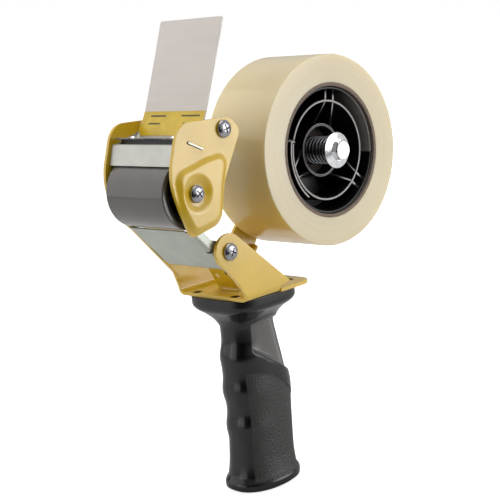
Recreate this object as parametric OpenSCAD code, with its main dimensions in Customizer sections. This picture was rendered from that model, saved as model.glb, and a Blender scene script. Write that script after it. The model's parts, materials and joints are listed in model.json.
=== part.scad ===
// Hand-held tape gun dispenser with a loaded roll of packing tape, in millimetres.
// +X points forward to the roller, +Y to the open side where a roll is loaded, +Z up.
// The origin is on the foot face at the bottom of the handle, on the tool's mid-plane.

/* [Frame] */
// Width over the outsides of the two side plates
frame_w = 57.5; // [57.2:0.1:58]
// Thickness of the frame's sheet steel
sheet = 2; // [1.8:0.1:2]
// Height of the base plate's underside above the foot
base_z = 118.2; // [118:0.1:118.6]
// Radius of the near rear corner of the base plate
base_corner_r = 9; // [6:1:11]

/* [Tape roll] */
// Width of the tape
tape_w = 48; // [46:0.5:48]
// Outside diameter of the roll
roll_d = 114; // [100:1:116]
// Inside diameter of the roll's core
core_d = 76.2; // [76.1:0.1:76.3]
// Wall thickness of the core
core_wall = 1.9; // [1.5:0.1:2.4]

/* [Hub and brake] */
// Distance from the handle's middle back to the hub's axis
hub_back = 58; // [58:0.5:59]
// Height of the hub's axis above the foot
hub_z = 191; // [191:0.5:192]
// Diameter of the hub's stud
stud_d = 10; // [9:0.5:10]
// Thread diameter of the brake bolt
bolt_d = 6; // [5:0.5:6]
// Mean diameter of the brake spring
spring_d = 15.8; // [15:0.1:16.2]
// Wire diameter of the brake spring
spring_wire = 1.8; // [1.4:0.1:1.9]

/* [Roller] */
// Diameter of the application roller
roller_d = 40; // [39:0.5:40]
// Length of the application roller
roller_l = 48; // [46:0.5:48.5]
// Diameter of the roller's axle and of the lower rod
rod_d = 8; // [7.6:0.1:8]
// Diameter of the upper rod
upper_rod_d = 7; // [6:0.5:8]

/* [Hold-down plate] */
// Thickness of the hold-down plate
hold_t = 1; // [0.8:0.1:1]
// Width over the plate's side flanges
hold_w = 51; // [50:0.5:51]

/* [Flap] */
// Width of the wiper flap
flap_w = 51.2; // [48:0.2:51.2]
// Free length of the wiper flap
flap_l = 64.6; // [50:0.1:70]
// Thickness of the wiper flap
flap_t = 1; // [0.8:0.1:1]
// Lean of the flap back from upright
flap_lean = 23.2; // [20:0.1:26]
// Height of the coloured band at the flap's foot
band_h = 11.4; // [8:0.1:20]

/* [Handle] */
// Depth of the grip's foot, front to back
foot_depth = 50; // [48:1:54]
// Width of the grip's foot
foot_width = 39; // [38:1:44]
// Height of each finger ridge on the grip
ridge_h = 1.4; // [0.5:0.1:2]
// Distance from one finger ridge to the next
ridge_pitch = 21.5; // [19:0.5:22]

/* [Hidden] */

$fn = 64;
arc_steps = 6;
gap = 0.05;                         // running clearance on a radius
touch = 0.02;                       // clearance between parts that only sit together
side_out = frame_w/2;               // outer faces of the side plates
side_in = side_out - sheet;         // inner faces of the side plates
hub_pos = [-hub_back, hub_z];       // points below are [x, z] in the side view
upper_pos = [32.4, 217];
axle_pos = [57, 185.5];
lower_pos = [37.6, 149.6];
base_top = base_z + sheet;
base_front = 28.7;
base_rear = -26.8;
ear_rear = 1.2;                     // where the near ear's bend ends
bend_r = 4;
wall_z = base_z + bend_r;           // where the side plates start above their bends

screw_head_r = 4.9;
screw_head_h = 2.9;
screw_shank_r = 2.4;
screw_hole_r = 2.6;
screw_reach = 12;
tapped_r = screw_shank_r + touch;

hold_angle = 47.2;                  // slope of the hold-down plate
hold_mid = 6.9;                     // plate's mid-thickness in front of the lower rod
hinge_pos = [46, 217.4];            // line about which the flap flexes

yellow = [0.93, 0.78, 0.32];
zinc = [0.72, 0.74, 0.72];
bright = [0.86, 0.86, 0.88];
black = [0.13, 0.13, 0.14];

function unit(v) = v/norm(v);

// The points of an arc of radius r that rounds the corner b between a and c
function corner_arc(a, b, c, r) =
    let (u = unit(a - b), v = unit(c - b), half = acos(u*v)/2, reach = r/tan(half))
    let (centre = b + unit(u + v)*r/sin(half), from = b + u*reach - centre, to = b + v*reach - centre)
    let (a0 = atan2(from.y, from.x), turn = (atan2(to.y, to.x) - a0 + 540)%360 - 180)
    [for (i = [0:arc_steps]) centre + r*[cos(a0 + turn*i/arc_steps), sin(a0 + turn*i/arc_steps)]];

// A closed outline through corners [x, y, radius]
function rounded(corners) =
    let (n = len(corners), p = [for (c = corners) [c.x, c.y]])
    [for (i = [0:n - 1]) each corners[i].z > 0
        ? corner_arc(p[(i + n - 1)%n], p[i], p[(i + 1)%n], corners[i].z)
        : [p[i]]];

// An outline t thick around an open path
function ribbon(path, t) =
    let (n = len(path))
    let (side = [for (i = [0:n - 1])
        let (d = unit(path[min(i + 1, n - 1)] - path[max(i - 1, 0)])) [-d.y, d.x]*t/2])
    concat([for (i = [0:n - 1]) path[i] + side[i]], [for (i = [n - 1:-1:0]) path[i] - side[i]]);

// A flat shape drawn in the side view, between two planes across the tool
module slab(y0, y1) {
    translate([0, y1, 0])
        rotate([90, 0, 0])
            linear_extrude(y1 - y0)
                children();
}

// A cylinder across the tool
module y_rod(r, y0, y1, at) {
    translate([at.x, y0, at.y])
        rotate([-90, 0, 0])
            cylinder(r = r, h = y1 - y0);
}

// A turned part about an axis across the tool, from points [radius, y]
module y_turned(at, outline) {
    translate([at.x, 0, at.y])
        rotate([-90, 0, 0])
            rotate_extrude($fn = 96)
                polygon(outline);
}

// A round wire along a path that never runs straight across the tool
module wire(path, r) {
    n = len(path);
    sides = 8;
    last = (n - 1)*sides;
    rings = [for (i = [0:n - 1])
        let (d = unit(path[min(i + 1, n - 1)] - path[max(i - 1, 0)]))
        let (out = unit(cross(d, [0, 1, 0])), along = cross(out, d))
        for (k = [0:sides - 1]) path[i] + r*(cos(k*360/sides)*out + sin(k*360/sides)*along)];
    walls = [for (i = [0:n - 2]) for (k = [0:sides - 1])
        let (a = i*sides + k, b = i*sides + (k + 1)%sides)
        [a, b, b + sides, a + sides]];
    caps = [[for (k = [sides - 1:-1:0]) k], [for (k = [0:sides - 1]) last + k]];
    polyhedron(rings, concat(walls, caps));
}

// ---- frame ----

// The head's outline, shared by the near cheek and the far side plate
head_top = [[74.6, 196, 34], [64.5, 224.2, 12], [27, 223, 10], [19.6, 215.2, 5]];

module cheek_outline() {
    polygon(rounded(concat(
        [[41.5, 166.6, 9], [63.6, 162.2, 3.2], [69.5, 177.5, 30]],
        head_top,
        [[35.6, 188.5, 40]]
    )));
}

module far_outline() {
    polygon(rounded(concat(
        [[base_front, wall_z, 0], [32, 132.5, 10], [62, 167, 20], [71.8, 180, 20]],
        head_top,
        [[35.6, 188.5, 20], [33, 165, 25], [-6, 133, 6], [-30, 160, 30], [-44, 196, 14]],
        [[-58, 207, 11], [-74, 191, 13], [-56, 167, 30], [-30, 128, 20], [base_rear, wall_z, 0]]
    )));
}

module ear_outline() {
    translate(lower_pos)
        circle(r = 10.2);
    polygon(rounded([
        [base_front, wall_z, 0], [32.5, 129, 8], [40, 138, 12], [46.2, 144, 0],
        [31.1, 157.5, 0], [-7, 123.4, 0], [ear_rear, wall_z, 0]
    ]));
}

// The flat of the base, out to where its bends begin
module base_plate() {
    flat = side_out - bend_r;
    translate([0, 0, base_z])
        linear_extrude(sheet)
            polygon(rounded([
                [base_front, -flat, 0], [base_front, flat, 0], [ear_rear, flat, 0], [ear_rear, side_out - 0.4, 0],
                [base_rear, side_out - 0.4, base_corner_r], [base_rear, -flat, 0]
            ]));
}

// The bend between the base and a side plate: side is 1 for the near side, -1 for the far side
module bend(side, rear) {
    flat = side_out - bend_r;
    arc = [for (t = [0:15:90]) [sin(t), 1 - cos(t)]];
    outer = [for (p = arc) [side*(flat + bend_r*p.x), base_z + bend_r*p.y]];
    inner = [for (i = [len(arc) - 1:-1:0])
        [side*(flat + (bend_r - sheet)*arc[i].x), base_top + (bend_r - sheet)*arc[i].y]];
    translate([rear, 0, 0])
        rotate([90, 0, 90])
            linear_extrude(base_front - rear)
                polygon(concat(outer, inner));
}

tab_foot_x = 14.4;
tab_lean = 27.7;
tab_w = 16;

module spring_tab() {
    translate([tab_foot_x, -tab_w/2, base_top - sheet/2])
        rotate([0, tab_lean, 0])
            difference() {
                translate([-1.5, 0, 0])
                    cube([1.5, tab_w, 18]);
                translate([-2, 4.5, 12])
                    rotate([0, 90, 0])
                        cylinder(r = 1.6, h = 3);
            }
}

// The opening left in the base where the tab was cut and bent up
module tab_opening() {
    translate([tab_foot_x - 18, -tab_w/2 - 0.8, base_z - 1])
        cube([16.8, tab_w + 1.6, sheet + 2]);
}

// A flange folded inwards along the back of the arm, clear of the tape roll
module arm_flange() {
    slab(-side_out + 0.5, -side_in + 5)
        polygon(ribbon([[-33.6, 135.2], [-31, 131.2], [-29, 127.6], [-26.8, 124]], 1.6));
}

module handle_screw_places() {
    for (x = [-18, 25.4], y = [-16, 16])
        translate([x, y, 0])
            children();
}

module frame() color(yellow) {
    difference() {
        union() {
            base_plate();
            bend(1, ear_rear);
            bend(-1, base_rear);
            slab(side_in, side_out)
                ear_outline();
            slab(-side_out, -side_in)
                far_outline();
            spring_tab();
            arm_flange();
        }
        tab_opening();
        for (at = [upper_pos, axle_pos])
            y_rod(screw_hole_r, -side_out - 1, -side_in + 1, at);
        y_rod(screw_hole_r, -side_out - 1, side_out + 1, lower_pos);
        y_rod(stud_d/2 + touch, -side_out - 1, -side_in + 1, hub_pos);
        handle_screw_places()
            translate([0, 0, base_z - 1])
                cylinder(r = 3.1, h = sheet + 2);
    }
}

// The raised lower panel of the cheek, with a round dish for the axle's screw
module cheek_panel() {
    polygon(rounded([
        [43.5, 169, 6], [62, 165.5, 3], [67, 177, 20], [68.5, 196, 6], [54, 202.2, 20],
        [34.5, 203.6, 2.5], [39, 186, 20]
    ]));
}

module near_cheek() color(yellow) {
    panel_h = 1.8;
    difference() {
        union() {
            slab(side_in, side_out)
                cheek_outline();
            slab(side_out - touch, side_out + panel_h)
                cheek_panel();
        }
        slab(side_in - panel_h, side_in)
            cheek_panel();
        y_rod(9.4, side_out, side_out + 2*panel_h, axle_pos);
        for (at = [upper_pos, axle_pos])
            y_rod(screw_hole_r, side_in - 1, side_out + 3, at);
        lance(0.2, side_in - 1, side_out + 1);
    }
}

// ---- blade and flap ----

guard_t = 1;
blade_front = 65.6;
blade_edge_z = 216.2;               // height of the seat's top under the blade's front edge
blade_tilt = 15;                    // the blade slopes down to the back
blade_t = 0.7;
blade_l = 15.6;
seat_t = 2.55;
blade_screw_back = 7.5;
blade_screw_y = 17;
blade_screw_reach = seat_t + guard_t + 0.6;
tooth_pitch = 1.6;

// The seat's own frame: origin under the blade's front edge, +X forward along the blade
module blade_frame() {
    translate([blade_front, 0, blade_edge_z])
        rotate([0, -blade_tilt, 0])
            children();
}

module blade_screw_places() {
    for (y = [-blade_screw_y, blade_screw_y])
        translate([-blade_screw_back, y, 0])
            children();
}

// The guard's end tab where it passes through the near cheek, grown all round for the cheek's slot
module lance(grow, y0, y1) {
    tab_l = 11.2;
    translate([54.1, y0, 211])
        rotate([0, -26.8, 0])
            translate([-tab_l/2 - grow, 0, -guard_t/2 - grow])
                cube([tab_l + 2*grow, y1 - y0, guard_t + 2*grow]);
}

module guard_lug() {
    difference() {
        union() {
            polygon([[69.4, 202.2], [66.3, 212.4], [32.4, 222], [32.4, 211], [60, 206]]);
            translate(upper_pos)
                circle(r = 5);
        }
        translate(upper_pos)
            circle(r = screw_hole_r);
    }
}

module front_guard() color(zinc) {
    lug_y = side_in - guard_t - touch;
    difference() {
        slab(-lug_y, lug_y)
            polygon(ribbon([[69.6, 202], [66.6, 211.6], [65.9, 212.6], [64.6, 212.75], [56, 210.45]], guard_t));
        blade_frame()
            blade_screw_places()
                translate([0, 0, -6])
                    cylinder(r = 1.5, h = 6);
    }
    slab(lug_y - touch, lug_y + guard_t)
        guard_lug();
    slab(-lug_y - guard_t, -lug_y + touch)
        guard_lug();
    lance(0, lug_y + guard_t - touch, side_out + 0.8);
}

module blade_seat() color(black) {
    difference() {
        slab(-24.5, 24.5)
            polygon([
                [49.05, 211.75], [61.1, 214.99], [61.76, 212.53], [54.9, 210.7], [54.5, 208], [51.23, 206.57]
            ]);
        blade_frame()
            blade_screw_places()
                translate([0, 0, -6])
                    cylinder(r = 1.5, h = 10);
        flap_frame()
            for (y = [-clamp_screw_y, clamp_screw_y])
                translate([0, y, -clamp_screw_z])
                    rotate([0, 90, 0])
                        cylinder(r = 1.5, h = 6);
    }
}

module blade() color(bright) {
    teeth = floor(50/tooth_pitch);
    half = teeth*tooth_pitch/2;
    edge = [for (i = [0:2*teeth]) [i%2 == 0 ? -1.4 : 0, -half + i*tooth_pitch/2]];
    blade_frame()
        difference() {
            translate([0, 0, touch])
                linear_extrude(blade_t)
                    polygon(concat(edge, [[-blade_l, half], [-blade_l, -half]]));
            blade_screw_places()
                translate([0, 0, -1])
                    cylinder(r = 1.6, h = 4);
        }
}

module blade_screws() color(zinc) {
    head_z = blade_t + 2*touch;
    blade_frame()
        blade_screw_places() {
            translate([0, 0, -blade_screw_reach])
                cylinder(r = 1.45, h = blade_screw_reach + head_z + 0.2);
            difference() {
                translate([0, 0, head_z])
                    cylinder(r1 = 2.7, r2 = 2, h = 1.4);
                translate([-2, -0.3, head_z + 0.7])
                    cube([4, 0.6, 1]);
            }
        }
}

flap_foot_l = 12;
clamp_screw_y = 18;
clamp_screw_z = 9.2;

// The flap's own frame: +Z up the flap, +X out of its front face
module flap_frame() {
    translate([hinge_pos.x, 0, hinge_pos.y])
        rotate([0, -flap_lean, 0])
            children();
}

module flap_foot() color([0.8, 0.78, 0.75]) {
    flap_frame()
        difference() {
            translate([-flap_t/2, -24, -flap_foot_l])
                cube([flap_t, 48, flap_foot_l - 0.8]);
            for (y = [-clamp_screw_y, clamp_screw_y])
                translate([-2, y, -clamp_screw_z])
                    rotate([0, 90, 0])
                        cylinder(r = 1.6, h = 4);
        }
}

module wiper_flap() color([0.8, 0.78, 0.75]) {
    flap_frame() {
        translate([-flap_t/2, -flap_w/2, 0])
            cube([flap_t, flap_w, flap_l]);
        rotate([-90, 0, 0])
            translate([0, 0, -flap_w/2])
                cylinder(r = flap_t/2, h = flap_w);
    }
}

module flap_band() color([0.78, 0.68, 0.22]) {
    flap_frame()
        translate([flap_t/2 + 0.01, -flap_w/2, 0.5])
            cube([0.25, flap_w, band_h]);
}

module flap_clamp() color(zinc) {
    flap_frame()
        difference() {
            translate([-flap_t/2 - 3, -24, -flap_foot_l])
                cube([3 - touch, 48, 6.6]);
            for (y = [-clamp_screw_y, clamp_screw_y])
                translate([-6, y, -clamp_screw_z])
                    rotate([0, 90, 0])
                        cylinder(r = 1.6, h = 8);
        }
}

module clamp_screws() color(zinc) {
    head_x = -flap_t/2 - 3 - touch;
    flap_frame()
        for (y = [-clamp_screw_y, clamp_screw_y])
            translate([0, y, -clamp_screw_z])
                rotate([0, 90, 0]) {
                    translate([0, 0, head_x])
                        cylinder(r = 1.45, h = 7);
                    difference() {
                        translate([0, 0, head_x - 1.6])
                            cylinder(r1 = 2.1, r2 = 2.7, h = 1.6);
                        translate([-2, -0.3, head_x - 2])
                            cube([4, 0.6, 1]);
                    }
                }
}

// ---- rods and screws ----

// A rod across the tool with a tapped hole in each end
module tapped_rod(at, r, half) {
    difference() {
        y_rod(r, -half, half, at);
        for (s = [-1, 1])
            translate([0, s*(half + 1 - (screw_reach + 2)/2), 0])
                y_rod(tapped_r, -(screw_reach + 2)/2, (screw_reach + 2)/2, at);
    }
}

module upper_rod() color(zinc) {
    tapped_rod(upper_pos, upper_rod_d/2, side_in - guard_t - 2*touch);
}

module lower_rod() color(zinc) {
    tapped_rod(lower_pos, rod_d/2, side_in - touch);
}

module roller_axle() color(zinc) {
    tapped_rod(axle_pos, rod_d/2, side_in - touch);
}

// A cross-recessed pan-head screw that enters the tool from its +Y side
module pan_screw(at) {
    dome = [for (i = [0:arc_steps]) let (t = 90*i/arc_steps)
        [screw_head_r*cos(t), 0.9 + (screw_head_h - 0.9)*sin(t)]];
    translate([0, side_out + touch, 0]) {
        difference() {
            y_turned(at, concat([[0, 0], [screw_head_r, 0]], dome));
            for (turn = [0, 90])
                translate([at.x, screw_head_h - 1.4, at.y])
                    rotate([0, turn, 0])
                        translate([-2.6, 0, -0.5])
                            cube([5.2, 2, 1]);
        }
        y_rod(screw_shank_r, -sheet - screw_reach + 2, touch, at);
    }
}

module near_screws() color(bright) {
    for (at = [upper_pos, axle_pos, lower_pos])
        pan_screw(at);
}

module far_screws() color(bright) {
    for (at = [upper_pos, axle_pos, lower_pos])
        mirror([0, 1, 0])
            pan_screw(at);
}

// ---- roller ----

sleeve_wall = 2.8;
roller_in = roller_d/2 - sleeve_wall;
bush_r = 6;
core_half = roller_l/2 - 0.6;

module roller_sleeve() color([0.38, 0.36, 0.35]) {
    difference() {
        y_rod(roller_d/2, -roller_l/2, roller_l/2, axle_pos);
        y_rod(roller_in, -roller_l, roller_l, axle_pos);
    }
}

module roller_core() color(black) {
    rim = roller_in - touch;
    y_turned(axle_pos, [
        [bush_r + touch, -core_half], [bush_r + 2.5, -core_half], [bush_r + 2.5, -1.5],
        [rim - 2.4, -1.5], [rim - 2.4, -core_half], [rim, -core_half],
        [rim, core_half], [rim - 2.4, core_half], [rim - 2.4, 1.5],
        [bush_r + 2.5, 1.5], [bush_r + 2.5, core_half], [bush_r + touch, core_half]
    ]);
}

module roller_bushes() color([0.85, 0.83, 0.78]) {
    bore = rod_d/2 + gap;
    for (s = [0, 1])
        mirror([0, s, 0])
            y_turned(axle_pos, [
                [bore, core_half - 10], [bush_r, core_half - 10], [bush_r, core_half + touch],
                [bush_r + 1.6, core_half + touch], [bush_r + 1.6, side_in - 0.2], [bore, side_in - 0.2]
            ]);
}

// ---- hold-down plate ----

// The plate's own frame: drawn with +X up its slope and -Y out of its front face
module hold_frame() {
    translate(lower_pos)
        rotate(hold_angle)
            children();
}

module hold_flange() {
    hold_frame()
        difference() {
            union() {
                circle(r = hold_mid);
                polygon([[-5, -hold_mid], [25.4, -hold_mid], [22, -1.4], [4, -1.4]]);
            }
            circle(r = rod_d/2 + gap);
        }
}

module hold_down_plate() color(zinc) {
    half = hold_w/2;
    difference() {
        slab(-half, half)
            hold_frame()
                polygon(ribbon([
                    [-9.2, -5.4], [-8.6, -6.4], [-7.4, -hold_mid], [25.5, -hold_mid], [29.4, -hold_mid - 0.9]
                ], hold_t));
        slab(half - 1.6, half + 1)
            hold_frame()
                translate([7.6, -12])
                    square([1.8, 10]);
    }
    for (y = [-half, half - hold_t])
        slab(y, y + hold_t)
            difference() {
                hold_flange();
                hold_frame()
                    translate([7.6, -12])
                        square([1.8, 7.4]);
            }
}

// A torsion spring round the lower rod: one leg hooks the plate, the other bears on the tab
module hold_down_spring() color([0.35, 0.34, 0.33]) {
    wire_r = 0.5;
    coil_r = 5.1;
    turns = 4.5;
    pitch = 1.15;
    start_y = 17.4;
    step = 20;
    count = floor(turns*360/step);
    first = -30;
    centre = [lower_pos.x, 0, lower_pos.y];
    coil = [for (i = [0:count]) let (t = first - i*step)
        centre + [coil_r*cos(t), start_y - pitch*i*step/360, coil_r*sin(t)]];
    leg_end = first - count*step;
    foot = centre + [coil_r*cos(leg_end), start_y - pitch*turns, coil_r*sin(leg_end)];
    wire(concat(
        [centre + [9.86, 26, 3.04], centre + [9.59, 24.2, 2.7], centre + [6.89, 19.2, -0.65]],
        coil,
        [foot + [-2.5, -3.2, -3.5], [22.9, 7, 133.2], [21.5, 6.4, 131.4]]
    ), wire_r);
}

// ---- hub and brake ----

hub_half = core_d/2 - 0.2;
hub_far = -side_in + 1.25;
hub_near = 22.3;
ring_r = 30.2;
ring_near = 20.3;
cup_r = 16.2;
cup_near = 15.4;
cup_floor = 6;
rim_t = 1.6;
spoke_t = 1.6;
web_near = 1;                       // faces of the hub's web
web_far = -1.2;

module hub_stud() color(zinc) {
    difference() {
        union() {
            y_rod(stud_d/2, -side_out - touch, cup_floor - 0.6, hub_pos);
            y_turned(hub_pos, [[0, -side_out - 3], [5.5, -side_out - 3], [8, -side_out - 1], [8, -side_out - touch],
                [0, -side_out - touch]]);
        }
        y_rod(bolt_d/2 + gap, cup_floor - 22, cup_floor + 1, hub_pos);
    }
}

module seat_washer() color([0.45, 0.2, 0.15]) {
    difference() {
        y_rod(12, -side_in + touch, hub_far - touch, hub_pos);
        y_rod(stud_d/2 + gap, -side_out, 0, hub_pos);
    }
}

// One wall of a spoke pair, from the cup out to the ring, then straight on to the rim
module spoke(side) {
    splay = 15.4;
    intersection() {
        translate([side*7.8, 0, cup_r - 3])
            rotate([0, -side*splay, 0])
                translate([-spoke_t/2, 0, 0])
                    cube([spoke_t, ring_near, ring_r - cup_r + 3]);
        y_turned([0, 0], [
            [cup_r - 1, 0], [ring_r - 0.8, 0], [ring_r - 0.8, ring_near - 0.4], [cup_r - 1, cup_near - 0.4]
        ]);
    }
    translate([side*3.3 - spoke_t/2, 0, ring_r - 0.8])
        cube([spoke_t, ring_near - 0.8, hub_half - ring_r]);
}

// A springy finger in the channel between ring and rim, rooted on a short block at one end
module finger(turn) {
    mid_r = ring_r + 2.4;
    rotate([-90, 0, 0])
        rotate([0, 0, turn])
            rotate_extrude(angle = 68, $fn = 96)
                translate([mid_r - 0.6, 1])
                    square([1.2, hub_near - 1.4]);
    rotate([0, turn + 90, 0])
        translate([-1, 0, ring_r - 0.8])
            cube([2, hub_near - 1, hub_half - ring_r - 0.2]);
}

module hub() color(black) {
    bore = stud_d/2 + gap;
    stop_r = core_d/2 + core_wall - 0.3;
    rim_in = hub_half - rim_t;
    y_turned(hub_pos, [
        [bore, hub_far], [bore + 3, hub_far], [bore + 3, web_far], [rim_in, web_far], [rim_in, hub_far],
        [stop_r, hub_far], [stop_r, hub_far + 1.3], [hub_half, hub_far + 1.3], [hub_half, hub_near],
        [rim_in, hub_near], [rim_in, web_near], [ring_r, web_near], [ring_r, ring_near],
        [ring_r - 1.6, ring_near], [ring_r - 1.6, web_near], [cup_r, web_near], [cup_r, cup_near],
        [cup_r - 1.9, cup_near], [cup_r - 1.9, cup_floor], [bore, cup_floor]
    ]);
    translate([hub_pos.x, 0, hub_pos.y]) {
        for (turn = [0, 120, 240], side = [-1, 1])
            rotate([0, turn - 12, 0])
                spoke(side);
        finger(-18);
    }
}

module friction_washer() color([0.5, 0.42, 0.3]) {
    y_turned(hub_pos, [
        [bolt_d/2 + gap, cup_floor + touch], [12, cup_floor + touch],
        [12, cup_floor + 1.5], [bolt_d/2 + gap, cup_floor + 1.5]
    ]);
}

spring_from = cup_floor + 1.5;
spring_to = 26.2;

module brake_spring() color(bright) {
    turns = 7.5;
    step = 18;
    count = turns*360/step;
    r = spring_wire/2;
    from = spring_from + r + touch;
    rise = spring_to - r - touch - from;
    centre = [hub_pos.x, 0, hub_pos.y];
    wire([for (i = [0:count])
        let (t = i*step, s = i/count, lift = max(0, min(1, (s - 0.1)/0.8)))
        centre + [spring_d/2*sin(t), from + rise*lift, spring_d/2*cos(t)]], r);
}

module cap_washer() color(bright) {
    y_turned(hub_pos, [
        [bolt_d/2 + gap, spring_to], [9.4, spring_to], [9.4, spring_to + 1], [bolt_d/2 + gap, spring_to + 1]
    ]);
}

module brake_bolt() color(bright) {
    flange = spring_to + 1 + touch;
    head_af = 11;
    y_turned(hub_pos, [
        [0, -8], [bolt_d/2, -8], [bolt_d/2, flange], [10.7, flange], [10.7, flange + 0.7],
        [6, flange + 2.2], [0, flange + 2.2]
    ]);
    translate([hub_pos.x, flange + 1, hub_pos.y])
        rotate([-90, 0, 0])
            cylinder(r = head_af/2/cos(30), h = 4.9, $fn = 6);
}

module tape_core() color([0.72, 0.6, 0.5]) {
    difference() {
        y_rod(core_d/2 + core_wall, -tape_w/2, tape_w/2, hub_pos);
        y_rod(core_d/2, -tape_w, tape_w, hub_pos);
    }
}

module tape_roll() color([0.86, 0.81, 0.7]) {
    difference() {
        y_rod(roll_d/2, -tape_w/2, tape_w/2, hub_pos);
        y_rod(core_d/2 + core_wall + touch, -tape_w, tape_w, hub_pos);
    }
}

// ---- handle ----

// Sections of the handle from the foot up: [z, centre x, half depth, half width, squareness]
foot_a = foot_depth/2;
foot_b = foot_width/2;
sections = [
    [0, 4.5, foot_a - 3, foot_b - 3, 2.2],
    [1.5, 4.5, foot_a - 0.8, foot_b - 0.8, 2.2],
    [4, 4.3, foot_a - 0.5, foot_b - 0.6, 2.2],
    [9, 3.6, 22.4, 16.8, 2.3],
    [20, 2.8, 21.2, 15, 2.5],
    [38, 1.4, 20.8, 14.5, 2.6],
    [58, 0.7, 21.4, 14.6, 2.6],
    [72, 2, 20.6, 14.3, 2.5],
    [86, 2.5, 18.8, 13.6, 2.4],
    [98, 3.3, 17.6, 13.4, 2.4],
    [103, 3.6, 19.4, 15.6, 2.6],
    [107, 4, 22.2, 19.6, 3],
    [110.5, 4.3, 25.2, 24.2, 3.6],
    [113, 4.4, 25.8, 25.4, 4],
    [base_z - touch, 4.4, 25.8, 25.4, 4]
];

function between(z, column) = lookup(z, [for (s = sections) [s[0], s[column]]]);

// Three finger ridges, from a valley above the foot to a valley below the neck
ridge_mid = 59.3;
function ridge(z) =
    let (away = z - ridge_mid)
    abs(away) > 1.5*ridge_pitch ? 0 : ridge_h*(1 + cos(360*away/ridge_pitch))/2;

module handle_skin() {
    around = 48;
    levels = concat([0, 1.5, 4, 9, 14, 20], [for (z = [26:2.6:94]) z], [98, 103, 107, 110.5, 113, base_z - touch]);
    last = (len(levels) - 1)*around;
    points = [for (z = levels)
        let (a = between(z, 2), b = between(z, 3), power = 2/between(z, 4))
        for (k = [0:around - 1])
            let (t = k*360/around, front = max(0, cos(t)))
            [
                between(z, 1) + a*sign(cos(t))*pow(abs(cos(t)), power) + ridge(z)*front,
                b*sign(sin(t))*pow(abs(sin(t)), power),
                z
            ]];
    walls = [for (i = [0:len(levels) - 2]) for (k = [0:around - 1])
        let (p = i*around + k, q = i*around + (k + 1)%around)
        each [[p, p + around, q + around], [p, q + around, q]]];
    caps = [[for (k = [0:around - 1]) k], [for (k = [around - 1:-1:0]) last + k]];
    polyhedron(points, concat(walls, caps));
}

handle_screw_r = 1.9;
handle_screw_l = 6;

module handle() color(black) {
    difference() {
        handle_skin();
        handle_screw_places()
            translate([0, 0, base_z - handle_screw_l])
                cylinder(r = handle_screw_r + touch, h = handle_screw_l + 1);
    }
}

module handle_screws() color(black) {
    handle_screw_places()
        translate([0, 0, base_z]) {
            translate([0, 0, -handle_screw_l + 0.5])
                cylinder(r = handle_screw_r, h = handle_screw_l);
            difference() {
                translate([0, 0, touch])
                    cylinder(r = 3, h = 1.7);
                for (turn = [0, 90])
                    rotate([0, 0, turn])
                        translate([-1.8, -0.4, 1])
                            cube([3.6, 0.8, 1]);
            }
        }
}

frame();
near_cheek();
front_guard();
blade_seat();
blade();
blade_screws();
flap_clamp();
clamp_screws();
flap_foot();
wiper_flap();
flap_band();
upper_rod();
lower_rod();
roller_axle();
roller_sleeve();
roller_core();
roller_bushes();
near_screws();
far_screws();
hold_down_plate();
hold_down_spring();
hub_stud();
seat_washer();
hub();
friction_washer();
brake_spring();
cap_washer();
brake_bolt();
tape_core();
tape_roll();
handle();
handle_screws();
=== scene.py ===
"""Looks for the tape gun dispenser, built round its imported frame. Lengths are millimetres."""

import json
from math import ceil, copysign, cos, hypot, pi, radians, sin, tan

import bmesh
import bpy
from mathutils import Matrix, Vector, geometry, kdtree, noise


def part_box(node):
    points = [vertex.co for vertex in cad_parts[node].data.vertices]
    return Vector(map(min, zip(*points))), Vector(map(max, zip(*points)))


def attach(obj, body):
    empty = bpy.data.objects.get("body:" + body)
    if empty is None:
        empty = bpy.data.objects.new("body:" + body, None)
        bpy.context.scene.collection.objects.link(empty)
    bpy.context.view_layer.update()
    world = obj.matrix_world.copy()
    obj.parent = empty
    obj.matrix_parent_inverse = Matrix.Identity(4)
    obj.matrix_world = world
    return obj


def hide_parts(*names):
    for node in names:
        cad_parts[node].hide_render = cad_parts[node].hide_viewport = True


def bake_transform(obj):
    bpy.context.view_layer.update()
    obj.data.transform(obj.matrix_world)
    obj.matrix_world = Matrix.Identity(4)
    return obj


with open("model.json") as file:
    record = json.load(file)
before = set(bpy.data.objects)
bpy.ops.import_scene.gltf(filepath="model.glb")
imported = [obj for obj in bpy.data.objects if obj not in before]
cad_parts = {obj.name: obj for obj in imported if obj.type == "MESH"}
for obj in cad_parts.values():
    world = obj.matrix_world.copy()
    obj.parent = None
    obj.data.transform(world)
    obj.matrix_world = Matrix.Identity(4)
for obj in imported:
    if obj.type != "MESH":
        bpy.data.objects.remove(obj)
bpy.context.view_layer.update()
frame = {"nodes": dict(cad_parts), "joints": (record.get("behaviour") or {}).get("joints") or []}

MM = 0.001
scene = bpy.context.scene
joints = {joint["name"]: joint for joint in frame["joints"]}


# ---- places taken from the frame ----

def joint_at(name):
    """A joint's position."""
    return Vector(joints[name]["pos_m"]) / MM


def span(node):
    """The lowest and highest corners of a CAD node."""
    low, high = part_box(node)
    return low / MM, high / MM


def middle(node):
    """The centre of a CAD node."""
    low, high = span(node)
    return (low + high) / 2


HUB = joint_at("hub_spin")
ROLLER = joint_at("roller_spin")
LOWER = joint_at("hold_down_swing")
HINGE = joint_at("flap_flex")
UPPER = middle("upper_rod")

frame_low, frame_high = span("frame")
SIDE_OUT = frame_high.y  # outer faces of the frame's two sides
SHEET = 2.0  # thickness of the painted sheets
SIDE_IN = SIDE_OUT - SHEET
BASE_Z = frame_low.z
BASE_TOP = BASE_Z + SHEET
BEND_R = 4.0  # outside radius of the bends between base and walls
WALL_Z = BASE_Z + BEND_R
BASE_REAR = -26.8
BASE_FRONT = 28.7
EAR_REAR = 1.2
ROD_HOLE_R = 2.6  # holes for the cross rods' screws

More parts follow.
